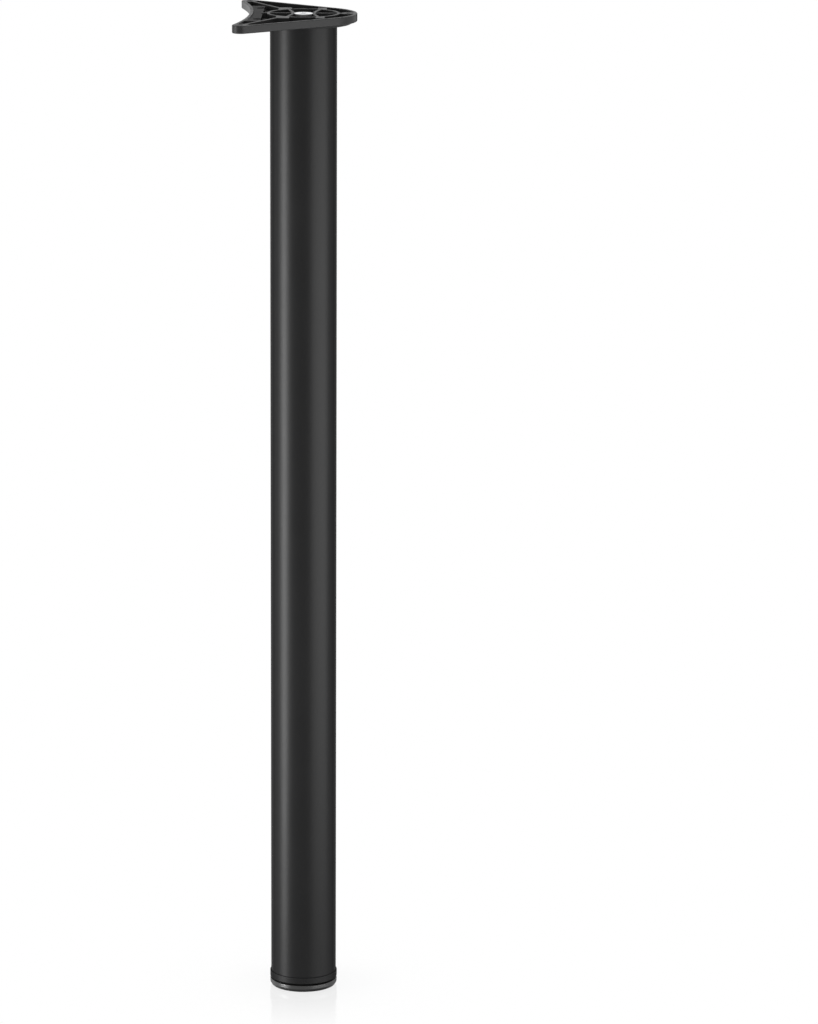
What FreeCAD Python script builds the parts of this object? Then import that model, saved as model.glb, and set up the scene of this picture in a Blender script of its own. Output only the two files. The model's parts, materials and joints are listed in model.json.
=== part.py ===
import FreeCAD, Part
import math
import os

# Round table leg with a ribbed cast mounting plate on top and a screw-adjusted foot below.
# Sizes are in millimetres, heights go up from the floor, and the leg's axis is the Z axis.
# The plate's tip points to +X and its two arms lie to the back, at -X.

# Leg and tube
leg_height = 905.0            # floor to the table's underside, foot fully screwed in
tube_diameter = 60.0
tube_wall = 1.2
tube_deburr = 0.3             # chamfer on the tube's cut ends

# Mounting plate, seen from above
tip_radius = 48.0             # rounded tip, centred on the leg's axis
arm_hole_x = 52.0             # arm holes lie this far behind the axis
arm_hole_y = 91.0             # and this far to each side
arm_end_radius = 7.5
hollow_edge = 47.9            # axis to the deepest point of the hollow back edge
arm_hole_diameter = 5.5
tip_hole_x = 39.5
tip_hole_diameter = 5.0
screw_head_diameter = 9.6     # countersinks for the wood screws, on the underside
back_hole_x = 39.0            # two wider holes near the hollow edge
back_hole_y = 40.5
back_hole_diameter = 9.0

# Mounting plate, in section
plate_thickness = 7.2
plate_floor = 2.4
plate_rim = 3.0               # width of the rim round the pockets
plate_edge_round = 1.0        # lower outer edge
plate_top_round = 0.5         # upper outer edge
boss_drop = 2.2               # round boss under the plate
boss_radius = 43.5
boss_taper = 1.0              # the boss narrows by this much towards the tube
boss_round = 1.2
spigot_depth = 3.2            # centring ring that enters the tube
spigot_width = 4.0
spigot_clearance = 0.3

# Ribs and pockets of the plate
rib_thickness = 2.6           # half way up, because the pockets' walls are drafted
ring_radius = 31.4            # centre line of the ring rib
spoke_root_x = 9.6            # spokes pass beside the bolt's head
spoke_root_y = 7.0            # straight beside the head up to here
spoke_end_x = 14.0            # and meet the ring here
back_lug_x = 17.5
back_lug_width = 12.0
front_lug_x = 15.8
front_lug_width = 8.0
lug_end_y = 39.5
arm_rib_end_x = 22.0          # the arms' ribs run from the arm holes to this point
arm_rib_end_y = 35.5
tip_boss_radius = 6.5
shelf_edge = 36.5             # flat shelf along the hollow edge, from here back
shelf_half_length = 57.0
shelf_drop = 0.8
pocket_corner = 0.6           # rounding of the pockets' upright corners
pocket_draft = 0.25           # each wall leans by this much over its height
pocket_lip = 0.3              # softened upper edge of each pocket

# Bolt that holds the plate on the tube
thread_diameter = 10.0
thread_clearance = 0.05       # radial, between a screw and its nut
bolt_hole_clearance = 0.25    # radial, between a screw and a plain hole
bolt_head_diameter = 17.0
bolt_head_height = 4.0
bolt_head_sink = 0.2          # head below the mounting plane
bolt_head_round = 0.5
bolt_length = 28.0            # under the head
socket_width = 6.0            # hexagon socket, across flats
socket_depth = 2.6
hub_clearance = 0.3           # radial, round the head
hub_wall = 1.5
hub_drop = 2.0                # hub rim below the mounting plane
washer_thickness = 1.0
washer_tooth_count = 10
washer_tooth_length = 1.4
washer_slot_width = 1.6

# Cup and nut in the tube's top
cup_gap = 0.4                 # between the plate's spigot and the cup
cup_thickness = 2.5
cup_height = 12.0
cup_bend_round = 3.0
inner_clearance = 0.1         # radial, between the tube and what is pressed or welded in it
weld_nut_width = 17.0         # across flats
weld_nut_height = 8.0

# Foot: pad, disc and spindle
pad_inset = 2.8               # pad narrower than the disc's lower edge, on each side
pad_thickness = 2.5
pad_drop = 0.8                # the pad stands below the disc by this much
pad_edge_round = 0.4
tongue_reach = 0.7            # snap tongue round the pad's upper edge
tongue_height = 0.8
pad_clearance = 0.3           # round the pad and its tongue
disc_height = 6.1
disc_step = 0.1               # disc narrower than the collar, on each side
disc_taper = 1.5              # the disc narrows by this much towards the floor
disc_band = 3.6               # upright band above the taper
disc_bend_round = 2.0         # between the band and the taper
disc_top_round = 0.6
disc_bottom_round = 0.9
disc_skin = 2.0
disc_wall = 2.0
disc_rib_count = 8
disc_rib_thickness = 1.8
foot_boss_radius = 13.0
foot_boss_height = 5.8        # above the disc
foot_boss_clearance = 0.4     # radial, in the plug's recess
hex_head_width = 16.0         # hexagon bolt head and plug nut, across flats
hex_head_height = 6.4
hex_clearance = 0.1           # at each flat
hex_face_share = 0.95         # washer face of nuts and heads, as a share of the width
hex_chamfer_angle = 30.0
foot_bolt_length = 60.0       # under the head
foot_travel = 25.0
stop_clearance = 0.3          # left at the end of the travel
stop_ring_thickness = 1.2
stop_ring_radius = 7.6
stop_groove_depth = 0.5
stop_ring_mouth = 4.0         # gap in the ring

# End plug
shadow_gap = 1.6              # open gap between disc and collar
collar_height = 6.0
collar_overhang = 0.9         # collar wider than the tube, on each side
collar_round = 0.5
plug_floor = 3.0
plug_depth = 31.0             # inside the tube
plug_wall = 2.2
plug_lead = 1.0               # tapered lead-in at the plug's upper end
crush_rib_count = 12
crush_rib_height = 0.3
crush_rib_width = 1.6
plug_nut_height = 8.4
nut_wall = 2.2                # plastic round the nut's corners
plug_hub_wall = 2.7
plug_hub_height = 28.0        # above the recess roof
plug_web_count = 6
plug_web_thickness = 2.2
plug_web_drop = 1.0           # webs end below the hub's top

# Heights of the main planes
plate_top = leg_height
plate_bottom = plate_top - plate_thickness
tube_top = plate_bottom - boss_drop
disc_bottom = pad_drop
disc_top = disc_bottom + disc_height
plug_bottom = disc_top + shadow_gap
tube_bottom = plug_bottom + collar_height
recess_roof = disc_top + foot_boss_height
plug_top = tube_bottom + plug_depth
plug_hub_top = recess_roof + plug_hub_height

# Radii that follow from the sizes above
tube_radius = tube_diameter / 2
bore_radius = tube_radius - tube_wall
thread_radius = thread_diameter / 2
hub_bore_radius = bolt_head_diameter / 2 + hub_clearance
hub_radius = hub_bore_radius + hub_wall
spigot_radius = bore_radius - spigot_clearance
hole_radius = thread_radius + bolt_hole_clearance
collar_radius = tube_radius + collar_overhang
disc_top_radius = collar_radius - disc_step
disc_bottom_radius = disc_top_radius - disc_taper
pad_radius = disc_bottom_radius - pad_inset

centre = FreeCAD.Vector(0, 0, 0)
up = FreeCAD.Vector(0, 0, 1)


def vector(x, y, z=0.0):
    return FreeCAD.Vector(x, y, z)


def polar(radius, angle, z=0.0):
    return vector(radius * math.cos(angle), radius * math.sin(angle), z)


# Solids from a section or a plan

def turned(corners):
    # Corners are (radius, height) or (radius, height, rounding) and go round the half section.
    edges = []
    starts = []
    ends = []
    middles = []
    count = len(corners)
    for index in range(count):
        corner = vector(corners[index][0], 0, corners[index][1])
        rounding = corners[index][2] if len(corners[index]) > 2 else 0.0
        if rounding == 0.0:
            starts.append(corner)
            ends.append(corner)
            middles.append(None)
            continue
        before = vector(corners[index - 1][0], 0, corners[index - 1][1])
        after = vector(corners[(index + 1) % count][0], 0, corners[(index + 1) % count][1])
        back = (before - corner).normalize()
        onward = (after - corner).normalize()
        half_angle = back.getAngle(onward) / 2
        reach = rounding / math.tan(half_angle)
        bisector = (back + onward).normalize()
        starts.append(corner + back * reach)
        ends.append(corner + onward * reach)
        middles.append(corner + bisector * (rounding / math.sin(half_angle) - rounding))
    for index in range(count):
        if middles[index] is not None:
            edges.append(Part.Arc(starts[index], middles[index], ends[index]).toShape())
        following = starts[(index + 1) % count]
        edges.append(Part.LineSegment(ends[index], following).toShape())
    face = Part.Face(Part.Wire(edges))
    return face.revolve(centre, up, 360)


def cylinder(radius, low, high, x=0.0, y=0.0):
    return Part.makeCylinder(radius, high - low, vector(x, y, low), up)


def cone(low_radius, high_radius, low, high, x=0.0, y=0.0):
    return Part.makeCone(low_radius, high_radius, high - low, vector(x, y, low), up)


def block(low_corner, high_corner):
    size = high_corner - low_corner
    return Part.makeBox(size.x, size.y, size.z, low_corner)


def hexagon(width, low, high):
    corner_radius = width / 2 / math.cos(math.pi / 6)
    corners = [polar(corner_radius, math.radians(60 * step), low) for step in range(7)]
    return Part.Face(Part.makePolygon(corners)).extrude(up * (high - low))


def chamfered_hexagon(width, low, high, both_ends):
    corner_radius = width / 2 / math.cos(math.pi / 6)
    face_radius = width / 2 * hex_face_share
    slope = (corner_radius - face_radius) * math.tan(math.radians(hex_chamfer_angle))
    envelope = [(0, low), (face_radius, low), (corner_radius, low + slope)]
    if both_ends:
        envelope += [(corner_radius, high - slope), (face_radius, high)]
    else:
        envelope += [(corner_radius, high)]
    envelope += [(0, high)]
    return hexagon(width, low, high).common(turned(envelope))


def rib(start, end, width, low, high):
    # A straight rib with round ends between two points of the plan.
    along = (end - start).normalize()
    aside = vector(-along.y, along.x) * (width / 2)
    tip = along * (width / 2)
    edges = [
        Part.LineSegment(start - aside, end - aside).toShape(),
        Part.Arc(end - aside, end + tip, end + aside).toShape(),
        Part.LineSegment(end + aside, start + aside).toShape(),
        Part.Arc(start + aside, start - tip, start - aside).toShape(),
    ]
    face = Part.Face(Part.Wire(edges))
    face.translate(up * low)
    return face.extrude(up * (high - low))


def around(shape, count):
    # Copies of a shape, turned about the axis by equal steps.
    copies = []
    for step in range(count):
        turned_copy = shape.copy()
        turned_copy.rotate(centre, up, 360.0 * step / count)
        copies.append(turned_copy)
    return copies


# Mounting plate

def plate_plan(inset, low, high):
    # The plate's outline, drawn inside its edge by the inset, as a prism.
    tip = tip_radius - inset
    end = arm_end_radius - inset
    arm_reach = math.hypot(arm_hole_x, arm_hole_y)
    arm_angle = math.atan2(arm_hole_y, -arm_hole_x)
    side_angle = arm_angle - math.acos((tip - end) / arm_reach)

    # The hollow edge is an arc that touches both arm ends and passes through its deepest point.
    step_back = hollow_edge - arm_hole_x
    reach_squared = step_back ** 2 + arm_hole_y ** 2 - arm_end_radius ** 2
    hollow_radius = reach_squared / (2 * (arm_end_radius - step_back))
    hollow_centre_x = -hollow_edge - hollow_radius
    hollow_angle = math.atan2(arm_hole_y, -arm_hole_x - hollow_centre_x)

    arm = vector(-arm_hole_x, arm_hole_y)
    side_tip = polar(tip, side_angle)
    side_end = arm + polar(end, side_angle)
    arm_far = arm + polar(end, (side_angle + hollow_angle + math.pi) / 2)
    hollow_end = arm + polar(end, hollow_angle + math.pi)
    hollow_middle = vector(-hollow_edge + inset, 0)

    def mirrored(point):
        return vector(point.x, -point.y)

    edges = [
        Part.Arc(mirrored(side_tip), vector(tip, 0), side_tip).toShape(),
        Part.LineSegment(side_tip, side_end).toShape(),
        Part.Arc(side_end, arm_far, hollow_end).toShape(),
        Part.Arc(hollow_end, hollow_middle, mirrored(hollow_end)).toShape(),
        Part.Arc(mirrored(hollow_end), mirrored(arm_far), mirrored(side_end)).toShape(),
        Part.LineSegment(mirrored(side_end), mirrored(side_tip)).toShape(),
    ]
    face = Part.Face(Part.Wire(edges))
    face.translate(up * low)
    return face.extrude(up * (high - low))


def spokes(low, high):
    # Four spokes, joined in pairs by a straight stretch beside the bolt's head.
    pieces = []
    spoke_end_y = math.sqrt(ring_radius ** 2 - spoke_end_x ** 2)
    for end in (-1, 1):
        near = vector(end * spoke_root_x, -spoke_root_y)
        far = vector(end * spoke_root_x, spoke_root_y)
        pieces.append(rib(near, far, rib_thickness, low, high))
        pieces.append(rib(near, vector(end * spoke_end_x, -spoke_end_y), rib_thickness, low, high))
        pieces.append(rib(far, vector(end * spoke_end_x, spoke_end_y), rib_thickness, low, high))
    return pieces


def plate_ribs(low, high):
    # Everything that stands up from the plate's floor inside the rim.
    ring = cylinder(ring_radius + rib_thickness / 2, low, high)
    pieces = [
        ring.cut(cylinder(ring_radius - rib_thickness / 2, low, high)),
        cylinder(hub_radius, low, high),
        cylinder(tip_boss_radius, low, high, tip_hole_x, 0),
        rib(vector(-shelf_edge, 0), vector(tip_hole_x, 0), rib_thickness, low, high),
    ]
    pieces += spokes(low, high)
    for side in (-1, 1):
        for lug_x, lug_width in ((-back_lug_x, back_lug_width), (front_lug_x, front_lug_width)):
            near = vector(lug_x - lug_width / 2, min(0, side * lug_end_y), low)
            far = vector(lug_x + lug_width / 2, max(0, side * lug_end_y), high)
            pieces.append(block(near, far).cut(cylinder(ring_radius, low, high)))
        arm = vector(-arm_hole_x, side * arm_hole_y)
        inner = vector(-arm_rib_end_x, side * arm_rib_end_y)
        pieces.append(rib(arm, inner, rib_thickness, low, high))
        pieces.append(cylinder(arm_end_radius, low, high, arm.x, arm.y))
    return pieces


def drafted_pockets(region, low, high):
    # The region's plan as pockets with leaning walls, rounded corners and softened upper edges.
    pockets = []
    floors = [face for face in region.Faces if face.BoundBox.ZMax < low + 0.01]
    for floor in floors:
        core = floor.makeOffset2D(-pocket_corner, 2, False, False, False)
        for part_of_core in core.Faces:
            wires = []
            for grown, height in ((-pocket_draft, low), (0, high - pocket_lip), (pocket_lip, high)):
                level = part_of_core.makeOffset2D(pocket_corner + grown, 0, False, False, False)
                level.translate(up * (height - low))
                wires.append(level.Faces[0].OuterWire)
            pockets.append(Part.makeLoft(wires, True, True))
    return pockets


def shelf_block(widening, low, high):
    # Space over the flat shelf between the hollow edge and a straight step parallel to it.
    back = -arm_hole_x - arm_end_radius
    half = shelf_half_length + widening
    return block(vector(back, -half, low), vector(-shelf_edge + widening, half, high))


def plate_pockets():
    floor_top = plate_bottom + plate_floor
    shelf_top = plate_top - shelf_drop
    deep = plate_plan(plate_rim, floor_top, plate_top)
    deep = deep.cut(plate_ribs(floor_top, plate_top) + [shelf_block(0, floor_top, plate_top)])
    shallow = plate_plan(plate_rim, shelf_top, plate_top)
    shallow = shallow.common(shelf_block(2 * pocket_corner, shelf_top, plate_top))
    shallow = shallow.cut(plate_ribs(shelf_top, plate_top))
    return drafted_pockets(deep, floor_top, plate_top) + drafted_pockets(shallow, shelf_top, plate_top)


def plate_boss():
    low_radius = boss_radius - boss_taper
    spigot_inner = spigot_radius - spigot_width
    spigot_low = tube_top - spigot_depth
    return turned([
        (0, plate_bottom + plate_floor / 2),
        (boss_radius, plate_bottom + plate_floor / 2),
        (boss_radius, plate_bottom),
        (low_radius, tube_top, boss_round),
        (spigot_radius, tube_top),
        (spigot_radius, spigot_low, plate_edge_round),
        (spigot_inner, spigot_low),
        (spigot_inner, tube_top),
        (0, tube_top),
    ])


def screw_hole(x, y, diameter):
    # Through hole with a countersink on the underside.
    head_radius = screw_head_diameter / 2
    sink = head_radius - diameter / 2
    hole = cylinder(diameter / 2, plate_bottom - 1, plate_top + 1, x, y)
    return hole.fuse(cone(head_radius, diameter / 2, plate_bottom, plate_bottom + sink, x, y))


def mounting_plate():
    body = plate_plan(0, plate_bottom, plate_top)
    low_edges = [edge for edge in body.Edges if edge.BoundBox.ZMax < plate_bottom + 0.01]
    body = body.makeFillet(plate_edge_round, low_edges)
    top_edges = [edge for edge in body.Edges if edge.BoundBox.ZMin > plate_top - 0.01]
    body = body.makeFillet(plate_top_round, top_edges)

    body = body.cut(plate_pockets())
    body = body.fuse(plate_boss())
    seat = plate_top - bolt_head_sink - bolt_head_height - washer_thickness
    hub_top = plate_top - hub_drop
    hub_space = cylinder(hub_radius + pocket_lip, hub_top, plate_top).cut(spokes(hub_top, plate_top))
    cuts = [
        hub_space,
        cylinder(hub_bore_radius, seat, plate_top),
        cylinder(hole_radius, tube_top - 1, plate_top),
        screw_hole(tip_hole_x, 0, tip_hole_diameter),
    ]
    for side in (-1, 1):
        cuts.append(screw_hole(-arm_hole_x, side * arm_hole_y, arm_hole_diameter))
        back_radius = back_hole_diameter / 2
        cuts.append(cylinder(back_radius, plate_bottom - 1, plate_top, -back_hole_x, side * back_hole_y))
    return body.cut(cuts).removeSplitter()


# Bolt, washer, cup and nut at the top of the tube

def plate_bolt():
    head_top = plate_top - bolt_head_sink
    head_bottom = head_top - bolt_head_height
    tip = head_bottom - bolt_length
    chamfer = thread_diameter / 8
    body = turned([
        (0, tip),
        (thread_radius - chamfer, tip),
        (thread_radius, tip + chamfer),
        (thread_radius, head_bottom),
        (bolt_head_diameter / 2, head_bottom),
        (bolt_head_diameter / 2, head_top, bolt_head_round),
        (0, head_top),
    ])
    return body.cut(hexagon(socket_width, head_top - socket_depth, head_top + 1))


def lock_washer():
    # Internal teeth, made by slots that open into the bore.
    high = plate_top - bolt_head_sink - bolt_head_height
    low = high - washer_thickness
    bore = hole_radius
    ring = cylinder(bolt_head_diameter / 2, low, high).cut(cylinder(bore, low, high))
    half = washer_slot_width / 2
    slot = block(vector(bore - 1, -half, low), vector(bore + washer_tooth_length, half, high))
    return ring.cut(around(slot, washer_tooth_count))


def top_cup():
    # Pressed cup, open downwards, with a plain hole for the bolt.
    high = tube_top - spigot_depth - cup_gap
    low = high - cup_height
    outer = bore_radius - inner_clearance
    inner = outer - cup_thickness
    return turned([
        (hole_radius, high),
        (outer, high, cup_bend_round),
        (outer, low),
        (inner, low),
        (inner, high - cup_thickness, cup_bend_round / 4),
        (hole_radius, high - cup_thickness),
    ])


def weld_nut():
    high = tube_top - spigot_depth - cup_gap - cup_thickness
    body = chamfered_hexagon(weld_nut_width, high - weld_nut_height, high, False)
    return body.cut(cylinder(thread_radius + thread_clearance, high - weld_nut_height, high))


def leg_tube():
    outer = [(tube_radius, tube_bottom + tube_deburr), (tube_radius, tube_top - tube_deburr)]
    top = [(tube_radius - tube_deburr, tube_top), (bore_radius, tube_top)]
    bottom = [(bore_radius, tube_bottom), (tube_radius - tube_deburr, tube_bottom)]
    return turned(outer + top + bottom)


# End plug and its nut

def end_plug():
    sleeve_radius = bore_radius - crush_rib_height
    sleeve_inner = sleeve_radius - plug_wall
    recess_radius = foot_boss_radius + foot_boss_clearance
    nut_roof = recess_roof + plug_nut_height
    nut_corner = (hex_head_width / 2 + hex_clearance) / math.cos(math.pi / 6)
    nut_housing = nut_corner + nut_wall
    hub_outer = hole_radius + plug_hub_wall
    recess_housing = recess_radius + plug_wall
    housing_top = recess_roof + plug_wall
    body = turned([
        (recess_radius, plug_bottom),
        (collar_radius, plug_bottom, collar_round),
        (collar_radius, tube_bottom, collar_round),
        (sleeve_radius, tube_bottom),
        (sleeve_radius, plug_top - plug_lead),
        (sleeve_radius - plug_lead / 2, plug_top),
        (sleeve_inner, plug_top),
        (sleeve_inner, plug_bottom + plug_floor, plug_wall / 2),
        (recess_housing, plug_bottom + plug_floor),
        (recess_housing, housing_top),
        (nut_housing, housing_top),
        (nut_housing, nut_roof + plug_wall),
        (hub_outer, nut_roof + plug_wall),
        (hub_outer, plug_hub_top),
        (hole_radius, plug_hub_top),
        (hole_radius, recess_roof),
        (recess_radius, recess_roof),
    ])
    web_low = plug_bottom + plug_floor
    web_high = plug_hub_top - plug_web_drop
    half = plug_web_thickness / 2
    web_outer = sleeve_inner + plug_wall / 2
    web = block(vector(hub_outer - 1, -half, web_low), vector(web_outer, half, web_high))
    web = web.cut(cylinder(recess_housing - plug_wall / 2, web_low, recess_roof + plug_wall / 2))
    crush_inner = sleeve_radius - plug_wall / 2
    half = crush_rib_width / 2
    crush_high = plug_top - 2 * plug_lead
    crush = block(vector(crush_inner, -half, tube_bottom), vector(bore_radius, half, crush_high))
    crush = crush.common(cylinder(bore_radius, tube_bottom, plug_top))
    body = body.fuse(around(web, plug_web_count) + around(crush, crush_rib_count))
    pocket = hexagon(hex_head_width + 2 * hex_clearance, recess_roof - 1, nut_roof)
    bore = cylinder(hole_radius, recess_roof, plug_hub_top)
    return body.cut([pocket, bore]).removeSplitter()


def plug_nut():
    low = recess_roof
    high = recess_roof + plug_nut_height
    body = chamfered_hexagon(hex_head_width, low, high, True)
    return body.cut(cylinder(thread_radius + thread_clearance, low, high))


# Foot

def foot_bolt():
    head_top = pad_thickness + hex_head_height
    tip = head_top + foot_bolt_length
    chamfer = thread_diameter / 8
    ring_low = plug_hub_top + foot_travel + stop_clearance
    groove = thread_radius - stop_groove_depth
    head = chamfered_hexagon(hex_head_width, pad_thickness, head_top, False)
    shank = turned([
        (0, head_top - 1),
        (thread_radius, head_top - 1),
        (thread_radius, ring_low),
        (groove, ring_low),
        (groove, ring_low + stop_ring_thickness),
        (thread_radius, ring_low + stop_ring_thickness),
        (thread_radius, tip - chamfer),
        (thread_radius - chamfer, tip),
        (0, tip),
    ])
    return head.fuse(shank).removeSplitter()


def stop_ring():
    low = plug_hub_top + foot_travel + stop_clearance
    high = low + stop_ring_thickness
    groove = thread_radius - stop_groove_depth
    ring = cylinder(stop_ring_radius, low, high).cut(cylinder(groove, low, high))
    half = stop_ring_mouth / 2
    mouth = block(vector(0, -half, low), vector(stop_ring_radius + 1, half, high))
    return ring.cut(mouth)


def foot_disc():
    pad_bore = pad_radius + pad_clearance
    groove_radius = pad_radius + tongue_reach + pad_clearance
    groove_bottom = pad_thickness - tongue_height - pad_clearance
    skin_bottom = disc_top - disc_skin
    head_roof = pad_thickness + hex_head_height
    core_radius = foot_boss_radius - disc_wall
    body = turned([
        (pad_bore, disc_bottom),
        (disc_bottom_radius, disc_bottom, disc_bottom_round),
        (disc_top_radius, disc_top - disc_band, disc_bend_round),
        (disc_top_radius, disc_top, disc_top_round),
        (foot_boss_radius, disc_top),
        (foot_boss_radius, disc_top + foot_boss_height, disc_top_round),
        (0, disc_top + foot_boss_height),
        (0, pad_thickness),
        (foot_boss_radius, pad_thickness),
        (foot_boss_radius, skin_bottom),
        (groove_radius - disc_wall, skin_bottom),
        (groove_radius - disc_wall, pad_thickness),
        (groove_radius, pad_thickness),
        (groove_radius, groove_bottom),
        (pad_bore, groove_bottom),
    ])
    half = disc_rib_thickness / 2
    spoke = block(vector(foot_boss_radius - 1, -half, pad_thickness),
                  vector(groove_radius - disc_wall / 2, half, skin_bottom + disc_skin / 2))
    body = body.fuse(around(spoke, disc_rib_count))
    pocket = hexagon(hex_head_width + 2 * hex_clearance, pad_thickness - 1, head_roof)
    bore = cylinder(hole_radius, head_roof - 1, disc_top + foot_boss_height + 1)
    return body.cut([pocket, bore]).removeSplitter()


def foot_pad():
    tongue_radius = pad_radius + tongue_reach
    tongue_bottom = pad_thickness - tongue_height
    return turned([
        (0, 0),
        (pad_radius, 0, pad_edge_round),
        (pad_radius, tongue_bottom),
        (tongue_radius, tongue_bottom),
        (tongue_radius, pad_thickness),
        (0, pad_thickness),
    ])


pieces = {
    "mounting_plate": mounting_plate,
    "plate_bolt": plate_bolt,
    "lock_washer": lock_washer,
    "leg_tube": leg_tube,
    "top_cup": top_cup,
    "weld_nut": weld_nut,
    "end_plug": end_plug,
    "plug_nut": plug_nut,
    "foot_disc": foot_disc,
    "foot_bolt": foot_bolt,
    "stop_ring": stop_ring,
    "foot_pad": foot_pad,
}

os.makedirs("parts", exist_ok=True)
for name, make in pieces.items():
    shape = make()
    solids = shape.Solids
    if len(solids) == 1:
        shape = solids[0]
    print(name, "solids", len(solids), "valid", shape.isValid(), "volume", round(shape.Volume, 1))
    shape.exportStep("parts/" + name + ".step")
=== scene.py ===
import json
import math

import bmesh
import bpy
from mathutils import Matrix, Vector

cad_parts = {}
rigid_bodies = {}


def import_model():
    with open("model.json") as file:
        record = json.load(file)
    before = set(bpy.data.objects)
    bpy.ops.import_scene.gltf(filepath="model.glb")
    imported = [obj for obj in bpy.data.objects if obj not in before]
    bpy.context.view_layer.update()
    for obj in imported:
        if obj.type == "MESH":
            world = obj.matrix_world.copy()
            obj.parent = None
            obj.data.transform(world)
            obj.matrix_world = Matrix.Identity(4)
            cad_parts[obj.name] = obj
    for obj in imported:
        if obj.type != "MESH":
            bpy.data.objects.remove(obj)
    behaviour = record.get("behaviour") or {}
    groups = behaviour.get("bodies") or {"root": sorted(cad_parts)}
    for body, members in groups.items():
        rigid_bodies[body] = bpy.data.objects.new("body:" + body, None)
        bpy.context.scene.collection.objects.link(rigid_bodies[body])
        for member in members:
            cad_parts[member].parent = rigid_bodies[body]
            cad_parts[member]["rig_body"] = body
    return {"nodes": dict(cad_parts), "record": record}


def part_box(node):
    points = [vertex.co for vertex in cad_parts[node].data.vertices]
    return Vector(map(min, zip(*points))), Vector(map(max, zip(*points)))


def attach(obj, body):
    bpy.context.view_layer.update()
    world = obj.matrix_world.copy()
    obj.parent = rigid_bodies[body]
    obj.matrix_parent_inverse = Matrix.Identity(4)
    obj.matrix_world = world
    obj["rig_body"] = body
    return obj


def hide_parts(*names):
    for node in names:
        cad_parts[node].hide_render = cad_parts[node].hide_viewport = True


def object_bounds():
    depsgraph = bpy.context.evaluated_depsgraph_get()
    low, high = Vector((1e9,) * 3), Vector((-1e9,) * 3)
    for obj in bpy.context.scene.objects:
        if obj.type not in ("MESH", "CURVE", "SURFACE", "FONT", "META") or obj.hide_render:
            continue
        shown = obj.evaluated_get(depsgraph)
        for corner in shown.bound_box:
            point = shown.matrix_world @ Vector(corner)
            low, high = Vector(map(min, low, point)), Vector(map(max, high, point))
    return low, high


# Looks of a black table leg: a ribbed cast plate on a lacquered tube, with a screwed foot.
# Everything is in metres, Z up, with the floor at zero and the leg's axis on Z.

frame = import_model()
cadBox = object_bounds()
nodes = frame["nodes"]


# Node helpers

def addNode(tree, kind, inputs=None, **settings):
    node = tree.nodes.new("ShaderNode" + kind)
    for name, value in settings.items():
        setattr(node, name, value)
    for name, value in (inputs or {}).items():
        if isinstance(value, bpy.types.NodeSocket):
            tree.links.new(value, node.inputs[name])
        else:
            node.inputs[name].default_value = value
    return node


def doMath(tree, operation, *values, clamp=False):
    node = addNode(tree, "Math", dict(enumerate(values)), operation=operation, use_clamp=clamp)
    return node.outputs[0]


def remap(tree, value, fromLow, fromHigh, toLow, toHigh, smooth=False):
    limits = {"Value": value, "From Min": fromLow, "From Max": fromHigh, "To Min": toLow, "To Max": toHigh}
    kind = "SMOOTHSTEP" if smooth else "LINEAR"
    return addNode(tree, "MapRange", limits, interpolation_type=kind).outputs[0]


def blendValues(tree, share, first, second):
    return addNode(tree, "Mix", {0: share, 2: first, 3: second}).outputs[0]


def blendColours(tree, share, first, second):
    node = addNode(tree, "Mix", data_type="RGBA")
    for socket, value in ((node.inputs[0], share), (node.inputs[6], first), (node.inputs[7], second)):
        if isinstance(value, bpy.types.NodeSocket):
            tree.links.new(value, socket)
        else:
            socket.default_value = value
    return node.outputs[2]


def newGroup(name, inputs, outputs):
    # Inputs are (name, start value), outputs are names, and all sockets hold plain values.
    group = bpy.data.node_groups.new(name, "ShaderNodeTree")
    for label, value in inputs:
        socket = group.interface.new_socket(name=label, in_out="INPUT", socket_type="NodeSocketFloat")
        socket.default_value = value
    for label in outputs:
        group.interface.new_socket(name=label, in_out="OUTPUT", socket_type="NodeSocketFloat")
    start = group.nodes.new("NodeGroupInput")
    end = group.nodes.new("NodeGroupOutput")
    return group, start.outputs, end.inputs


def scaledPlace(tree, cell):
    # Object coordinates divided by the size of one cell, so that a noise has grains of that size.
    place = addNode(tree, "TexCoord").outputs["Object"]
    return addNode(tree, "VectorMath", {0: place, "Scale": doMath(tree, "DIVIDE", 1.0, cell)},
                   operation="SCALE").outputs[0]


# Effects that several finishes share

# Most values of a noise lie between the first pair, and the second gives patches with clearer borders.
softNoise = 0.3, 0.7
hardNoise = 0.35, 0.65


def makePeelGroup():
    # Flow marks of sprayed and baked lacquer, and the fine grain under them.
    group, given, result = newGroup("lacquerPeel", [("Cell Size", 0.002), ("Grain Share", 0.2)], ["Height"])
    place = scaledPlace(group, given["Cell Size"])
    waves = addNode(group, "TexNoise", {"Vector": place, "Scale": 1.0, "Detail": 1.5, "Roughness": 0.4})
    grain = addNode(group, "TexNoise", {"Vector": place, "Scale": 7.0, "Detail": 2.0, "Roughness": 0.6})
    mixed = doMath(group, "MULTIPLY_ADD", grain.outputs[0], given["Grain Share"], waves.outputs[0])
    group.links.new(mixed, result["Height"])
    return group


def makeToneGroup():
    # Slow uneven patches, for roughness and colour, around 0.5.
    group, given, result = newGroup("slowTone", [("Patch Size", 0.05), ("Detail", 3.0)], ["Tone"])
    place = scaledPlace(group, given["Patch Size"])
    patches = addNode(group, "TexNoise", {"Vector": place, "Scale": 1.0, "Detail": given["Detail"],
                                          "Roughness": 0.55})
    group.links.new(patches.outputs[0], result["Tone"])
    return group


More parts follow.
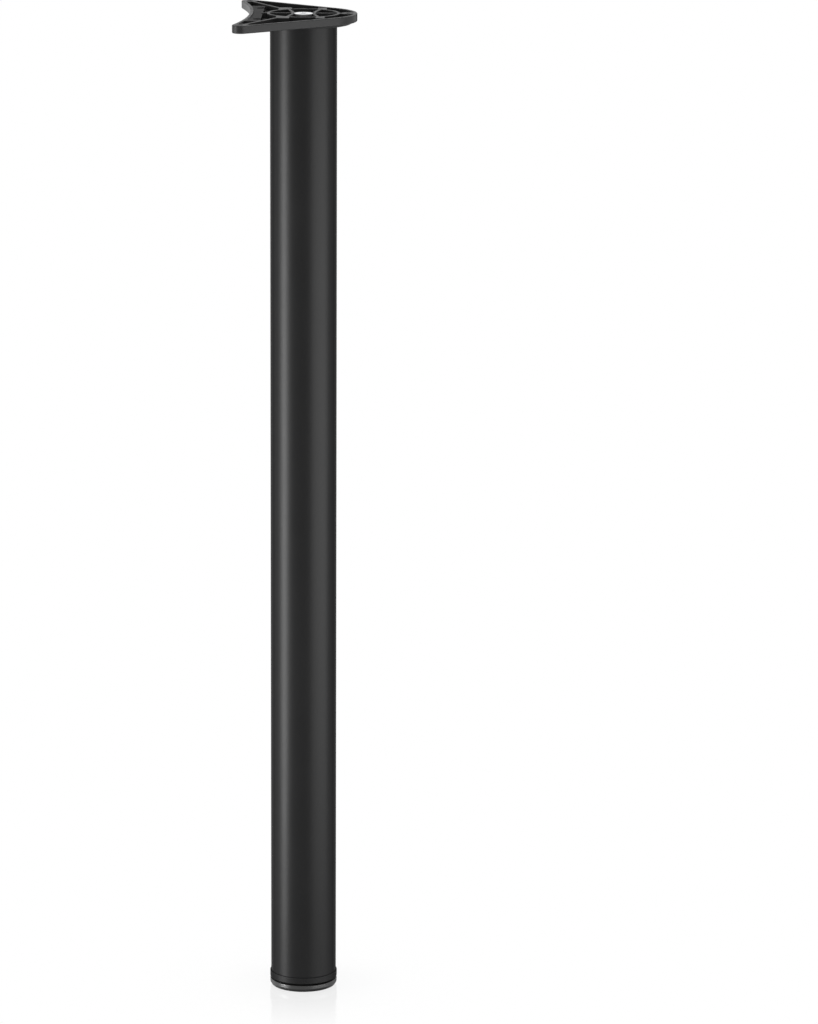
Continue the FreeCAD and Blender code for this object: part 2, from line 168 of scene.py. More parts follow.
def makeEdgeGroup():
    # Mask of the edges, where lacquer draws thin and handling polishes it. The lighter colour that the
    # finishes put on it is partly this wear and partly a painted highlight of the rounded edges.
    group, given, result = newGroup("edgeWearAndHighlight", [("Width", 0.0006), ("Patch Size", 0.006), ("Breakup", 0.5)],
                                    ["Mask"])
    softened = addNode(group, "Bevel", {"Radius": given["Width"]}, samples=4)
    surface = addNode(group, "NewGeometry")
    likeness = addNode(group, "VectorMath", {0: softened.outputs[0], 1: surface.outputs["Normal"]},
                       operation="DOT_PRODUCT").outputs["Value"]
    flatLikeness, edgeLikeness = 0.995, 0.86
    edge = remap(group, likeness, flatLikeness, edgeLikeness, 0.0, 1.0)
    patches = addNode(group, "TexNoise", {"Vector": scaledPlace(group, given["Patch Size"]), "Scale": 1.0,
                                          "Detail": 4.0})
    uneven = remap(group, patches.outputs[0], *hardNoise, 0.0, 1.0)
    kept = doMath(group, "SUBTRACT", 1.0, doMath(group, "MULTIPLY", uneven, given["Breakup"]))
    group.links.new(doMath(group, "MULTIPLY", edge, kept, clamp=True), result["Mask"])
    return group


def makeTurningGroup():
    # Fine rings left by a lathe or a header, round the leg's axis.
    group, given, result = newGroup("turnedRings", [("Pitch", 0.0002), ("Wobble", 0.3)], ["Height", "Tone"])
    place = addNode(group, "TexCoord").outputs["Object"]
    flat = addNode(group, "VectorMath", {0: place, 1: (1.0, 1.0, 0.0)}, operation="MULTIPLY").outputs[0]
    radius = addNode(group, "VectorMath", {0: flat}, operation="LENGTH").outputs["Value"]
    step = doMath(group, "DIVIDE", radius, given["Pitch"])
    spread = addNode(group, "CombineXYZ", {0: step}).outputs[0]
    rings = addNode(group, "TexNoise", {"Vector": spread, "Scale": 1.0, "Detail": 2.0,
                                        "Distortion": given["Wobble"]}).outputs[0]
    group.links.new(rings, result["Height"])
    group.links.new(remap(group, rings, *softNoise, 0.0, 1.0), result["Tone"])
    return group


contactLook = {
    "patches": (0.3, 0.6),       # noise values between which the rubbing grows
    "rubbing": (0.55, 1.0),      # from the least rubbed patches to the most
    "facingUp": (0.6, 0.95),     # how far up the normal points
    "facingBack": (-0.3, -0.6),  # and how far along X
}


def makeContactGroup():
    # Masks of the faces that lie on one level plane and get rubbed there, of all faces that look up and
    # of those that look back, along X.
    inputs = [("Level", 0.9), ("Depth", 0.0002), ("Patch Size", 0.008)]
    group, given, result = newGroup("contactPlane", inputs, ["Rubbed", "Facing Up", "Facing Back"])
    source = addNode(group, "TexCoord").outputs
    height = addNode(group, "SeparateXYZ", {0: source["Object"]}).outputs["Z"]
    below = doMath(group, "SUBTRACT", given["Level"], height)
    away = doMath(group, "DIVIDE", below, given["Depth"], clamp=True)
    near = doMath(group, "SUBTRACT", 1.0, away, clamp=True)
    patches = addNode(group, "TexNoise", {"Vector": scaledPlace(group, given["Patch Size"]), "Scale": 1.0,
                                          "Detail": 4.0})
    uneven = remap(group, patches.outputs[0], *contactLook["patches"], *contactLook["rubbing"])
    group.links.new(doMath(group, "MULTIPLY", near, uneven), result["Rubbed"])
    normal = addNode(group, "SeparateXYZ", {0: source["Normal"]}).outputs
    group.links.new(remap(group, normal["Z"], *contactLook["facingUp"], 0.0, 1.0), result["Facing Up"])
    group.links.new(remap(group, normal["X"], *contactLook["facingBack"], 0.0, 1.0), result["Facing Back"])
    return group


lacquerPeel = makePeelGroup()
slowTone = makeToneGroup()
edgeWearAndHighlight = makeEdgeGroup()
turnedRings = makeTurningGroup()
contactPlane = makeContactGroup()
print("shared effects made:", len(bpy.data.node_groups))


# Finishes

def startMaterial(name):
    material = bpy.data.materials.new(name)
    material.use_nodes = True
    tree = material.node_tree
    tree.nodes.clear()
    output = addNode(tree, "OutputMaterial")
    shader = addNode(tree, "BsdfPrincipled")
    tree.links.new(shader.outputs[0], output.inputs["Surface"])
    return material, tree, shader


def placeGroup(tree, group, **values):
    node = addNode(tree, "Group", node_tree=group)
    for name, value in values.items():
        label = "".join(" " + letter if letter.isupper() else letter for letter in name).title()
        node.inputs[label].default_value = value
    return node.outputs


def setBump(tree, shader, height, distance):
    bump = addNode(tree, "Bump", {"Height": height, "Distance": distance})
    tree.links.new(bump.outputs[0], shader.inputs["Normal"])


def fadeGloss(tree, shader, gloss, edgeLevel):
    # A textured coat loses its gloss at a glancing angle instead of turning into a mirror.
    facing = addNode(tree, "LayerWeight", {"Blend": 0.5}).outputs["Facing"]
    level = remap(tree, facing, gloss["fadeStart"], gloss["fadeEnd"], gloss["level"], edgeLevel, smooth=True)
    shader.inputs["Specular IOR Level"].default_value = gloss["level"]
    tree.links.new(level, shader.inputs["Specular IOR Level"])


# Edge mask for the lacquers, whose lighter edge colour is partly wear and partly a painted highlight.
lacquerEdgeWearAndHighlight = {"patchSize": 0.005, "breakup": 0.5}


def makeLacquer(name, finish):
    # Stoved lacquer or moulded plastic: flow marks, uneven gloss, and slightly rubbed edges whose lighter
    # colour is also a painted highlight.
    material, tree, shader = startMaterial(name)
    peel = placeGroup(tree, lacquerPeel, cellSize=finish["peelCell"], grainShare=finish["grainShare"])
    tone = placeGroup(tree, slowTone, patchSize=finish["patchSize"], detail=3.0)["Tone"]
    edge = placeGroup(tree, edgeWearAndHighlight, width=finish["edgeWidth"], **lacquerEdgeWearAndHighlight)["Mask"]
    evenColour = blendColours(tree, tone, finish["darkColour"], finish["lightColour"])
    # The lighter edge colour is worn edges and also a painted highlight along the rounded edges.
    edgeWearHighlightShare = doMath(tree, "MULTIPLY", edge, finish["edgeShare"])
    colour = blendColours(tree, edgeWearHighlightShare, evenColour, finish["edgeWearHighlightColour"])
    smoothest = finish["roughness"] - finish["patchy"]
    roughest = finish["roughness"] + finish["patchy"]
    patchy = remap(tree, tone, *softNoise, smoothest, roughest)
    roughness = doMath(tree, "MULTIPLY_ADD", edge, -finish["edgePolish"], patchy)
    edgeLevel = finish["gloss"]["edgeLevel"]
    if "contact" in finish:
        # The coat is thick and dull on what faces up, and rubbed smooth where the table top lies on it.
        contact = finish["contact"]
        masks = placeGroup(tree, contactPlane, level=contact["level"], depth=contact["depth"],
                           patchSize=contact["patchSize"])
        colour = blendColours(tree, masks["Rubbed"], colour, contact["colour"])
        dull = doMath(tree, "MULTIPLY_ADD", masks["Facing Up"], contact["dullness"], roughness)
        roughness = blendValues(tree, masks["Rubbed"], dull, contact["roughness"])
        # Only the top and the hollow back edge keep their gloss at a glancing angle.
        glossy = doMath(tree, "MAXIMUM", masks["Facing Up"], masks["Facing Back"])
        edgeLevel = doMath(tree, "MULTIPLY", glossy, edgeLevel)
    tree.links.new(colour, shader.inputs["Base Color"])
    tree.links.new(roughness, shader.inputs["Roughness"])
    setBump(tree, shader, peel["Height"], finish["peelDepth"])
    fadeGloss(tree, shader, finish["gloss"], edgeLevel)
    return material


# Each finish's edge colour is lighter than its coat: worn edges and a painted highlight of the rounded
# edges.
tubeFinish = {
    "darkColour": (0.0085, 0.0085, 0.0087, 1.0),
    "lightColour": (0.0115, 0.0115, 0.0118, 1.0),
    "edgeWearHighlightColour": (0.05, 0.05, 0.051, 1.0),
    "edgeShare": 0.5,
    "edgeWidth": 0.0004,
    "edgePolish": 0.08,
    "roughness": 0.38,
    "patchy": 0.012,
    "patchSize": 0.06,
    "peelCell": 0.0016,
    "peelDepth": 0.000006,
    "grainShare": 0.15,
    "gloss": {"level": 0.2, "edgeLevel": 0.012, "fadeStart": 0.28, "fadeEnd": 0.6},
}

castFinish = {
    "darkColour": (0.018, 0.018, 0.0182, 1.0),
    "lightColour": (0.024, 0.024, 0.0245, 1.0),
    "edgeWearHighlightColour": (0.07, 0.07, 0.072, 1.0),
    "edgeShare": 0.5,
    "edgeWidth": 0.0005,
    "edgePolish": 0.08,
    "roughness": 0.38,
    "patchy": 0.03,
    "patchSize": 0.02,
    "peelCell": 0.0011,
    "peelDepth": 0.00003,
    "grainShare": 0.35,
    "gloss": {"level": 0.22, "edgeLevel": 0.22, "fadeStart": 0.7, "fadeEnd": 0.85},
    "contact": {
        "level": cadBox[1].z,
        "depth": 0.0002,
        "patchSize": 0.008,
        "colour": (0.022, 0.022, 0.0225, 1.0),
        "dullness": 0.4,         # roughness added on what faces up
        "roughness": 0.4,
    },
}

plugFinish = {
    "darkColour": (0.0085, 0.0085, 0.0087, 1.0),
    "lightColour": (0.0115, 0.0115, 0.0118, 1.0),
    "edgeWearHighlightColour": (0.03, 0.03, 0.031, 1.0),
    "edgeShare": 0.3,
    "edgeWidth": 0.0004,
    "edgePolish": 0.06,
    "roughness": 0.42,
    "patchy": 0.02,
    "patchSize": 0.015,
    "peelCell": 0.0004,
    "peelDepth": 0.00001,
    "grainShare": 0.5,
    "gloss": {"level": 0.2, "edgeLevel": 0.012, "fadeStart": 0.28, "fadeEnd": 0.6},
}

discFinish = {
    "darkColour": (0.018, 0.018, 0.018, 1.0),
    "lightColour": (0.025, 0.025, 0.025, 1.0),
    "edgeWearHighlightColour": (0.08, 0.08, 0.08, 1.0),
    "edgeShare": 0.4,
    "edgeWidth": 0.0004,
    "edgePolish": 0.05,
    "roughness": 0.31,
    "patchy": 0.03,
    "patchSize": 0.008,
    "peelCell": 0.0006,
    "peelDepth": 0.000003,
    "grainShare": 0.5,
    "gloss": {"level": 0.95, "edgeLevel": 0.05, "fadeStart": 0.4, "fadeEnd": 0.8},
}

padFinish = {
    "darkColour": (0.03, 0.03, 0.031, 1.0),
    "lightColour": (0.045, 0.045, 0.046, 1.0),
    "edgeWearHighlightColour": (0.09, 0.09, 0.09, 1.0),
    "edgeShare": 0.5,
    "edgeWidth": 0.0004,
    "edgePolish": 0.1,
    "roughness": 0.6,
    "patchy": 0.05,
    "patchSize": 0.01,
    "peelCell": 0.0003,
    "peelDepth": 0.00002,
    "grainShare": 0.6,
    "gloss": {"level": 0.4, "edgeLevel": 0.2, "fadeStart": 0.5, "fadeEnd": 1.0},
}


# Edge mask for the metals, whose brighter edge colour is partly wear and partly a painted highlight.
metalEdgeWearAndHighlight = {"width": 0.0003, "patchSize": 0.003, "breakup": 0.4}


def makeMetal(name, finish):
    # Plated or bare steel: turned rings, uneven plating, and edges brighter from wear and from a painted
    # highlight.
    material, tree, shader = startMaterial(name)
    rings = placeGroup(tree, turnedRings, pitch=finish["ringPitch"], wobble=finish["ringWobble"])
    tone = placeGroup(tree, slowTone, patchSize=finish["patchSize"], detail=5.0)["Tone"]
    edge = placeGroup(tree, edgeWearAndHighlight, **metalEdgeWearAndHighlight)["Mask"]
    patchy = remap(tree, tone, *hardNoise, 0.0, 1.0)
    evenColour = blendColours(tree, patchy, finish["darkColour"], finish["lightColour"])
    # The brighter edge colour is worn edges and also a painted highlight along the rounded edges.
    tree.links.new(blendColours(tree, edge, evenColour, finish["edgeWearHighlightColour"]), shader.inputs["Base Color"])
    ringed = doMath(tree, "MULTIPLY_ADD", rings["Tone"], finish["ringDullness"], finish["roughness"])
    roughness = doMath(tree, "MULTIPLY_ADD", patchy, finish["patchDullness"], ringed)
    tree.links.new(roughness, shader.inputs["Roughness"])
    setBump(tree, shader, rings["Height"], finish["ringDepth"])
    shader.inputs["Metallic"].default_value = 1.0
    return material


# Each metal's edge colour is brighter than its body: worn edges and a painted highlight of the rounded
# edges.
zincFinish = {
    "darkColour": (0.8, 0.81, 0.82, 1.0),
    "lightColour": (0.88, 0.89, 0.9, 1.0),
    "edgeWearHighlightColour": (0.91, 0.92, 0.93, 1.0),
    "roughness": 0.38,
    "ringDullness": 0.08,
    "patchDullness": 0.08,
    "patchSize": 0.003,
    "ringPitch": 0.00018,
    "ringWobble": 0.4,
    "ringDepth": 0.000004,
}

steelFinish = {
    "darkColour": (0.22, 0.215, 0.21, 1.0),
    "lightColour": (0.42, 0.42, 0.42, 1.0),
    "edgeWearHighlightColour": (0.6, 0.6, 0.6, 1.0),
    "roughness": 0.32,
    "ringDullness": 0.1,
    "patchDullness": 0.16,
    "patchSize": 0.004,
    "ringPitch": 0.0004,
    "ringWobble": 0.4,
    "ringDepth": 0.000006,
}

finishes = {
    "cast_lacquer": makeLacquer("castLacquer", castFinish),
    "tube_lacquer": makeLacquer("tubeLacquer", tubeFinish),
    "black_plastic": makeLacquer("blackPlug", plugFinish),
    "grey_plastic": makeLacquer("greyDisc", discFinish),
    "glide_plastic": makeLacquer("darkGlide", padFinish),
    "zinc_plating": makeMetal("brightZinc", zincFinish),
    "raw_steel": makeMetal("oiledSteel", steelFinish),
}
print("finishes made:", ", ".join(sorted(finishes)))


# Solids that keep their shape and get their finish

slotOfNode = {part["node"]: part["material_slot"] for part in frame["record"]["subparts"]}


def dressNode(name):
    piece = nodes[name]
    piece.data.materials.clear()
    piece.data.materials.append(finishes[slotOfNode[name]])


for nodeName in nodes:
    dressNode(nodeName)


# Mesh helpers for turned pieces

def roundedLine(corners, closed, steps=5):
    # Corners are (radius, height) or (radius, height, rounding), and each rounding becomes an arc.
    points = []
    count = len(corners)
    for index, corner in enumerate(corners):
        spot = Vector(corner[:2])
        rounding = corner[2] if len(corner) > 2 else 0.0
        inner = closed or 0 < index < count - 1
        if not rounding or not inner:
            points.append(spot)
            continue
        back = (Vector(corners[index - 1][:2]) - spot).normalized()
        onward = (Vector(corners[(index + 1) % count][:2]) - spot).normalized()
        halfAngle = back.angle(onward) / 2
        middle = spot + (back + onward).normalized() * (rounding / math.sin(halfAngle))
        start = spot + back * (rounding / math.tan(halfAngle)) - middle
        end = spot + onward * (rounding / math.tan(halfAngle)) - middle
        sweep = start.angle(end)
        for step in range(steps + 1):
            share = step / steps
            ofStart = math.sin((1 - share) * sweep) / math.sin(sweep)
            ofEnd = math.sin(share * sweep) / math.sin(sweep)
            points.append(middle + start * ofStart + end * ofEnd)
    return points


def spinRows(mesh, rows, segments, closed):
    # Each row is (radius, height). Either may be a function of the angle, and radius 0 is one point on
    # the axis.
    rings = []
    for radius, height in rows:
        if radius == 0:
            rings.append([mesh.verts.new((0, 0, height))])
            continue
        ring = []
        for step in range(segments):
            angle = 2 * math.pi * step / segments
            reach = radius(angle) if callable(radius) else radius
            level = height(angle) if callable(height) else height
            ring.append(mesh.verts.new((reach * math.cos(angle), reach * math.sin(angle), level)))
        rings.append(ring)
    pairs = list(zip(rings, rings[1:]))
    if closed:
        pairs.append((rings[-1], rings[0]))
    for low, high in pairs:
        for step in range(segments):
            after = (step + 1) % segments
            corners = [low[step % len(low)], low[after % len(low)],
                       high[after % len(high)], high[step % len(high)]]
            corners = list(dict.fromkeys(corners))
            if len(corners) > 2:
                mesh.faces.new(corners)


meshFinish = {
    "weldDistance": 1e-7,
    "sharpAngle": 32.0,      # degrees between faces from which an edge stays sharp
}


def finishPiece(name, mesh, node):
    # Turns the mesh into a piece that stands for the node, on the node's own body and with its finish.
    bmesh.ops.remove_doubles(mesh, verts=mesh.verts, dist=meshFinish["weldDistance"])
    bmesh.ops.recalc_face_normals(mesh, faces=mesh.faces)
    data = bpy.data.meshes.new(name)
    mesh.to_mesh(data)
    mesh.free()
    data.shade_smooth()
    data.set_sharp_from_angle(angle=math.radians(meshFinish["sharpAngle"]))
    data.materials.append(finishes[slotOfNode[node]])
    piece = bpy.data.objects.new(name, data)
    bpy.context.scene.collection.objects.link(piece)
    weighting = piece.modifiers.new("evenShading", "WEIGHTED_NORMAL")
    weighting.keep_sharp = True
    weighting.weight = 100
    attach(piece, nodes[node]["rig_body"])
    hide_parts(node)


# Leg tube

tube = {
    "wall": 0.0012,
    "rimRound": 0.0003,
    "boreRound": 0.0001,
    "segments": 192,
}


def makeTube():
    low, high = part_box("leg_tube")
    outer = high.x
    bore = outer - tube["wall"]
    corners = [
        (bore, low.z, tube["boreRound"]),
        (outer, low.z, tube["rimRound"]),
        (outer, high.z, tube["rimRound"]),
        (bore, high.z, tube["boreRound"]),
    ]
    mesh = bmesh.new()
    spinRows(mesh, roundedLine(corners, True), tube["segments"], True)
    finishPiece("legTube", mesh, "leg_tube")


makeTube()
print("tube made")


# Screw threads, bolts and nuts

thread = {
    "radius": 0.005,
    "pitch": 0.0015,
    "depth": 0.00086,
    "clearance": 0.00008,    # between a bolt's thread and a nut's
    "nutDepthShare": 0.92,   # a nut's thread is cut a little less deep
    "nutLead": 0.0003,       # countersink at the ends of a nut's bore
    "segments": 96,
    "runOut": 0.0012,        # length in which the thread fades into the plain shank
}

# Heights within one pitch, and how far down the flank each point lies
threadProfile = [(0.0, 1.0), (0.06, 0.93), (0.14, 0.7), (0.4, 0.04), (0.44, 0.0), (0.56, 0.0), (0.6, 0.04),
                 (0.86, 0.7), (0.94, 0.93)]


def spinThread(mesh, low, high, radiusAt):
    # One ribbon wound round the axis. It is cut level at both heights, and radiusAt gives the radius
    # from the height and the depth share of the profile. All threads share one phase, so that they mesh.
    pitch, segments = thread["pitch"], thread["segments"]
    firstTurn = math.floor(low / pitch) - 1
    steps = (math.ceil(high / pitch) - firstTurn + 1) * segments
    columns = []
    for step in range(steps + 1):
        angle = 2 * math.pi * (step % segments) / segments
        column = []
        for share, down in threadProfile:
            level = (firstTurn + step / segments + share) * pitch
            level = min(max(level, low), high)
            reach = radiusAt(level, down)
            column.append(mesh.verts.new((reach * math.cos(angle), reach * math.sin(angle), level)))
        columns.append(column)
    for step in range(steps):
        rows = list(zip(columns[step], columns[step + 1]))
        if step + segments < steps:
            rows.append((columns[step + segments][0], columns[step + segments + 1][0]))
        for (near, far), (nearUp, farUp) in zip(rows, rows[1:]):
            if max(nearUp.co.z, farUp.co.z) > low and min(near.co.z, far.co.z) < high:
                mesh.faces.new((near, far, farUp, nearUp))


def hexReach(across):
    # Radius of a hexagon in each direction, with a corner on the X axis.
    return lambda angle: across / 2 / math.cos(angle % (math.pi / 3) - math.pi / 6)


def hexChamfer(across, faceRadius, level, rise):
    # Height at which a 30 degree cone from the face's circle meets the flats.
    reach = hexReach(across)
    return lambda angle: level + rise * (reach(angle) - faceRadius) * math.tan(math.pi / 6)


plateBolt = {
    "headRadius": 0.0085,
    "headHeight": 0.004,
    "headRound": 0.0006,
    "socketWidth": 0.006,
    "socketDepth": 0.0026,
    "socketLead": 0.0003,
    "drillShare": 0.96,      # the drilled cone's width, as a share of the socket's
    "drillCone": 0.0009,
    "innerRing": 0.6,        # where the head's flat face starts, as a share of its radius
    "underRound": 0.0002,
    "neck": 0.0004,          # chamfer between the head and the shank
    "tipChamfer": 0.00125,
    "plainShank": 0.004,
}


def boltThreadRadius(plainFrom, tip, tipChamfer):
    # Full thread, a run-out towards the plain shank, and the chamfer at the tip.
    def radiusAt(level, down):
        fade = min(max((plainFrom - level) / thread["runOut"], 0.0), 1.0)
        cone = thread["radius"] - tipChamfer + (level - tip)
        return min(thread["radius"] - thread["depth"] * down * fade, cone)
    return radiusAt


def makePlateBolt():
    low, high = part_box("plate_bolt")
    head = high.z - plateBolt["headHeight"]
    neckLow = head - plateBolt["neck"]
    plainEnd = head - plateBolt["plainShank"]
    socket = high.z - plateBolt["socketDepth"]
    hexagon = hexReach(plateBolt["socketWidth"])
    mouth = hexReach(plateBolt["socketWidth"] + 2 * plateBolt["socketLead"])
    mesh = bmesh.new()
    rows = [
        (0, socket - plateBolt["drillCone"]),
        (plateBolt["socketWidth"] / 2 * plateBolt["drillShare"], socket),
        (hexagon, socket),
        (hexagon, high.z - plateBolt["socketLead"]),
        (mouth, high.z),
    ]
    headCorners = [
        (plateBolt["headRadius"] * plateBolt["innerRing"], high.z),
        (plateBolt["headRadius"], high.z, plateBolt["headRound"]),
        (plateBolt["headRadius"], head, plateBolt["underRound"]),
        (thread["radius"] + plateBolt["neck"], head),
        (thread["radius"], neckLow),
    ]
    rows += [tuple(point) for point in roundedLine(headCorners, False)]
    spinRows(mesh, rows, thread["segments"], False)
    shankRows = [(thread["radius"], neckLow), (thread["radius"], plainEnd)]
    spinRows(mesh, shankRows, thread["segments"], False)
    radiusAt = boltThreadRadius(plainEnd, low.z, plateBolt["tipChamfer"])
    spinThread(mesh, low.z, plainEnd, radiusAt)
    spinRows(mesh, [(radiusAt(low.z, 0.0), low.z), (0, low.z)], thread["segments"], False)
    finishPiece("plateBolt", mesh, "plate_bolt")


footBolt = {
    "across": 0.016,
    "headHeight": 0.0064,
    "faceShare": 0.95,       # the face's circle, as a share of the width across the flats
    "grooveDepth": 0.0005,   # for the stop ring
    "grooveRunOut": 0.0003,
    "tipChamfer": 0.00125,
}


def makeFootBolt():
    low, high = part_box("foot_bolt")
    ringLow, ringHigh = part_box("stop_ring")
    head = low.z + footBolt["headHeight"]
    across = footBolt["across"]
    face = across / 2 * footBolt["faceShare"]
    grooveRadius = thread["radius"] - footBolt["grooveDepth"]
    mesh = bmesh.new()
    rows = [
        (0, low.z),
        (face, low.z),
        (hexReach(across), hexChamfer(across, face, low.z, 1)),
        (hexReach(across), head),
        (thread["radius"], head),
    ]
    spinRows(mesh, rows, thread["segments"], False)

    def shankRadius(level, down):
        # The thread runs from under the head to the stop ring's groove.
        fade = min(max((level - head) / thread["runOut"], 0.0), 1.0)
        fade *= min(max((ringLow.z - level) / footBolt["grooveRunOut"], 0.0), 1.0)
        return thread["radius"] - thread["depth"] * down * fade

    spinThread(mesh, head, ringLow.z, shankRadius)
    ringRows = [
        (thread["radius"], ringLow.z),
        (grooveRadius, ringLow.z),
        (grooveRadius, ringHigh.z),
        (thread["radius"], ringHigh.z),
        (thread["radius"], high.z - footBolt["tipChamfer"]),
        (thread["radius"] - footBolt["tipChamfer"], high.z),
        (0, high.z),
    ]
    spinRows(mesh, ringRows, thread["segments"], False)
    finishPiece("footBolt", mesh, "foot_bolt")


def nutThreadRadius(low, high):
    # The bore's ends open in a countersink.
    def radiusAt(level, down):
        meshing = thread["radius"] + thread["clearance"] - thread["depth"] * down * thread["nutDepthShare"]
        lead = thread["radius"] + thread["nutLead"] - min(level - low, high - level)
        return max(meshing, lead)
    return radiusAt


nuts = {
    "weld_nut": {"across": 0.017, "faceShare": 0.95, "chamferTop": False},
    "plug_nut": {"across": 0.016, "faceShare": 0.95, "chamferTop": True},
}


def makeNut(node, nut):
    low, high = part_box(node)
    reach = hexReach(nut["across"])
    face = nut["across"] / 2 * nut["faceShare"]
    radiusAt = nutThreadRadius(low.z, high.z)
    rows = [(radiusAt(low.z, 0.0), low.z), (face, low.z), (reach, hexChamfer(nut["across"], face, low.z, 1))]
    if nut["chamferTop"]:
        rows += [(reach, hexChamfer(nut["across"], face, high.z, -1)), (face, high.z)]
    else:
        rows.append((reach, high.z))
    rows.append((radiusAt(high.z, 0.0), high.z))
    mesh = bmesh.new()
    spinRows(mesh, rows, thread["segments"], False)
    spinThread(mesh, low.z, high.z, radiusAt)
    finishPiece(node.split("_")[0] + "Nut", mesh, node)


makePlateBolt()
makeFootBolt()
for nutNode, nut in nuts.items():
    makeNut(nutNode, nut)
print("bolts and nuts made")


# Camera, set so that the top and the foot of the leg's axis fall on their places in the photograph

photo = {
    "width": 818,
    "height": 1024,
    "axisX": 303.55,
    "topY": 12.8,
    "footY": 983.1,
    "sensor": 36.0,
}

viewpoint = {
    "across": 0.153,
    "distance": 4.44,
    "height": 1.437,
    "focalLimits": (1, 20),  # shortest and longest focal length tried, in picture heights
    "focalError": 0.01,      # pixels
}


def pixelRay(x, y, focal):
    return Vector((x - photo["width"] / 2, photo["height"] / 2 - y, -focal)).normalized()


def axesOf(first, second):
    # Right-handed axes from two directions, as the columns of a matrix.
    across = first.cross(second).normalized()
    return Matrix((first, across, first.cross(across))).transposed()


def aimCamera():
    place = Vector((viewpoint["across"], -viewpoint["distance"], viewpoint["height"]))
    toTop = (Vector((0, 0, cadBox[1].z)) - place).normalized()
    toFoot = (Vector((0, 0, 0)) - place).normalized()
    wanted = toTop.angle(toFoot)
    shortest, longest = [photo["height"] * limit for limit in viewpoint["focalLimits"]]
    # A longer focal length sees a smaller angle between the two pixels.
    while longest - shortest > viewpoint["focalError"]:
        focal = (shortest + longest) / 2
        top = pixelRay(photo["axisX"], photo["topY"], focal)
        foot = pixelRay(photo["axisX"], photo["footY"], focal)
        if top.angle(foot) > wanted:
            shortest = focal
        else:
            longest = focal
    turn = axesOf(toTop, toFoot) @ axesOf(top, foot).inverted()
    data = bpy.data.cameras.new("photoCamera")
    data.sensor_width = photo["sensor"]
    data.lens = focal * photo["sensor"] / photo["height"]
    camera = bpy.data.objects.new("photoCamera", data)
    camera.matrix_world = Matrix.Translation(place) @ turn.to_4x4()
    bpy.context.scene.collection.objects.link(camera)
    bpy.context.scene.camera = camera
    print("camera lens", round(data.lens, 1), "mm")


aimCamera()


# Floor, backdrop and lamps

floorLook = {
    "size": 80.0,
    "white": (0.86, 0.86, 0.86, 1.0),
    "mirrorRoughness": 0.12,
    # The lit share of the white comes from the lamps and so shows shadow, and the mirror share shows a faint
    # image of the foot. Each is full up to its start, measured from the leg's axis, and gone at its reach.
    "lit": {"share": 0.08, "start": 0.03, "reach": 0.1},
    "mirror": {"share": 0.14, "start": 0.02, "reach": 0.17},
}


def makeFloor():
    mesh = bmesh.new()
    bmesh.ops.create_grid(mesh, x_segments=8, y_segments=8, size=floorLook["size"] / 2)
    data = bpy.data.meshes.new("floor")
    mesh.to_mesh(data)
    mesh.free()
    floor = bpy.data.objects.new("floor", data)
    bpy.context.scene.collection.objects.link(floor)
    floor.visible_glossy = False
    floor.visible_shadow = False

    material = bpy.data.materials.new("paleFloor")
    material.use_nodes = True
    tree = material.node_tree
    tree.nodes.clear()
    place = addNode(tree, "TexCoord").outputs["Object"]
    distance = addNode(tree, "VectorMath", {0: place}, operation="LENGTH").outputs["Value"]
    # Away from the foot the camera sees the white backdrop through the floor, and so the foot when it is
    # screwed out below the floor's level. From below the floor is quite clear.
    matt = addNode(tree, "BsdfDiffuse", {"Color": floorLook["white"]}).outputs[0]
    clear = addNode(tree, "BsdfTransparent", {"Color": (1, 1, 1, 1)}).outputs[0]
    fromAbove = doMath(tree, "SUBTRACT", 1.0, addNode(tree, "NewGeometry").outputs["Backfacing"])

    def shareOf(effect):
        near = remap(tree, distance, effect["start"], effect["reach"], effect["share"], 0.0, smooth=True)
        return doMath(tree, "MULTIPLY", near, fromAbove)

    seen = addNode(tree, "LightPath").outputs["Is Camera Ray"]
    seenThrough = doMath(tree, "MULTIPLY", seen, doMath(tree, "SUBTRACT", 1.0, shareOf(floorLook["lit"])))
    plain = addNode(tree, "MixShader", {0: seenThrough, 1: matt, 2: clear}).outputs[0]
    mirror = addNode(tree, "BsdfGlossy", {"Color": (1, 1, 1, 1), "Roughness": floorLook["mirrorRoughness"]})
    mirrored = {0: shareOf(floorLook["mirror"]), 1: plain, 2: mirror.outputs[0]}
    surface = addNode(tree, "MixShader", mirrored).outputs[0]
    addNode(tree, "OutputMaterial", {"Surface": surface})
    data.materials.append(material)


worldLook = {
    "ambient": 0.5,          # light from all round, for everything but the backdrop
    "frontHigh": 0.18,       # what gloss sees of the room on the camera's side, above the horizon
    "frontLow": 0.46,        # and below it
    "frontFall": 0.5,        # share of that which is left towards the camera's feet
    "backHigh": 0.95,        # the same behind the leg
    "backLow": 1.0,
    "rightLoss": 0.45,       # share that the ground behind loses to the right
    "nadir": 0.04,           # straight down, under the foot
}

# Where one brightness turns into the next, as parts of the direction in which gloss looks
worldBands = {
    "frontHorizon": (-0.02, 0.12),
    "frontFall": (-0.2, -0.4),
    "backHorizon": (-0.04, 0.04),
    "toBack": (-0.1, 0.7),
    "toRight": (0.05, 0.6),
    "toNadir": (-0.4, -0.8),
}


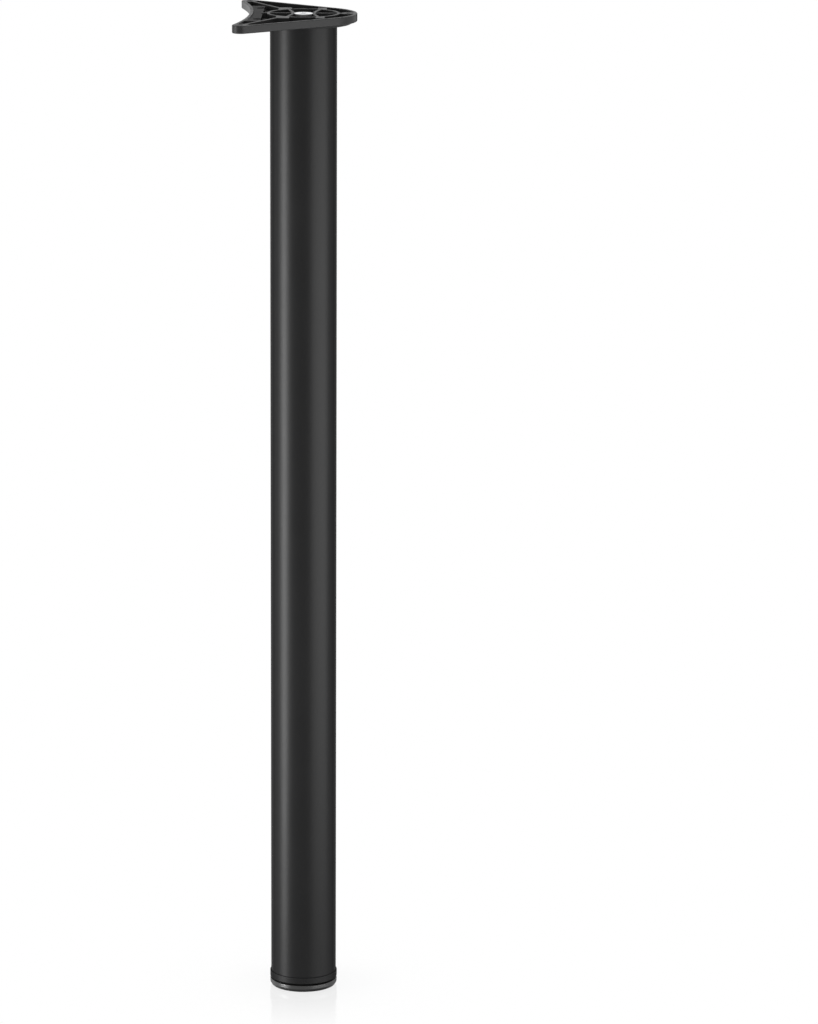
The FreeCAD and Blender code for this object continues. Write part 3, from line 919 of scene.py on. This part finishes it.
def makeWorld():
    world = bpy.data.worlds.new("studio")
    bpy.context.scene.world = world
    world.use_nodes = True
    tree = world.node_tree
    tree.nodes.clear()
    path = addNode(tree, "LightPath").outputs
    direction = addNode(tree, "TexCoord").outputs["Generated"]
    parts = addNode(tree, "SeparateXYZ", {0: direction}).outputs
    frontFeet = worldLook["frontLow"] * worldLook["frontFall"]
    frontLow = remap(tree, parts["Z"], *worldBands["frontFall"], worldLook["frontLow"], frontFeet)
    front = remap(tree, parts["Z"], *worldBands["frontHorizon"], frontLow, worldLook["frontHigh"])
    rightLoss = remap(tree, parts["X"], *worldBands["toRight"], 0.0, worldLook["rightLoss"])
    backLow = doMath(tree, "MULTIPLY", worldLook["backLow"], doMath(tree, "SUBTRACT", 1.0, rightLoss))
    back = remap(tree, parts["Z"], *worldBands["backHorizon"], backLow, worldLook["backHigh"])
    behind = remap(tree, parts["Y"], *worldBands["toBack"], 0.0, 1.0, smooth=True)
    down = remap(tree, parts["Z"], *worldBands["toNadir"], 0.0, 1.0, smooth=True)
    shine = blendValues(tree, down, blendValues(tree, behind, front, back), worldLook["nadir"])
    lightOnly = blendValues(tree, path["Is Glossy Ray"], worldLook["ambient"], shine)
    seen = doMath(tree, "MAXIMUM", path["Is Camera Ray"], path["Is Transmission Ray"])
    strength = blendValues(tree, seen, lightOnly, 1.0)
    background = addNode(tree, "Background", {"Color": (1, 1, 1, 1), "Strength": strength}).outputs[0]
    addNode(tree, "OutputWorld", {"Surface": background})


# The boxes reach below the floor, because the low end of the tube mirrors what lies there. Azimuth 0 is the
# camera's side of the leg, and a positive one is to its right. Brightness 1 shows as white in a mirror.
softBoxes = {
    "leftStrip": {"azimuth": -68, "distance": 1.25, "height": 0.23, "aim": 0.23, "wide": 0.42, "tall": 1.08,
                  "brightness": 15.0},
    "rightBox": {"azimuth": 60, "distance": 1.5, "height": 0.25, "aim": 0.25, "wide": 1.7, "tall": 1.1,
                 "brightness": 3.7},
    "topBox": {"azimuth": 180, "distance": 0.45, "height": 1.9, "aim": 0.9, "wide": 1.6, "tall": 1.3,
               "brightness": 0.8},
    "frontBox": {"azimuth": 5, "distance": 0.95, "height": 1.8, "aim": 0.9, "wide": 1.4, "tall": 0.7,
                 "brightness": 0.7},
}


def makeSoftBox(name, box):
    angle = math.radians(box["azimuth"])
    place = Vector((math.sin(angle), -math.cos(angle), 0)) * box["distance"] + Vector((0, 0, box["height"]))
    data = bpy.data.lights.new(name, "AREA")
    data.shape = "RECTANGLE"
    data.size = box["wide"]
    data.size_y = box["tall"]
    data.energy = box["brightness"] * math.pi * box["wide"] * box["tall"]
    lamp = bpy.data.objects.new(name, data)
    lamp.location = place
    towards = Vector((0, 0, box["aim"])) - place
    lamp.rotation_euler = towards.to_track_quat("-Z", "Y").to_euler()
    lamp.visible_camera = False
    bpy.context.scene.collection.objects.link(lamp)


makeFloor()
makeWorld()
for boxName, softBox in softBoxes.items():
    makeSoftBox(boxName, softBox)
bpy.context.scene.view_settings.view_transform = "Standard"
print("stage made:", len(softBoxes), "lamps")
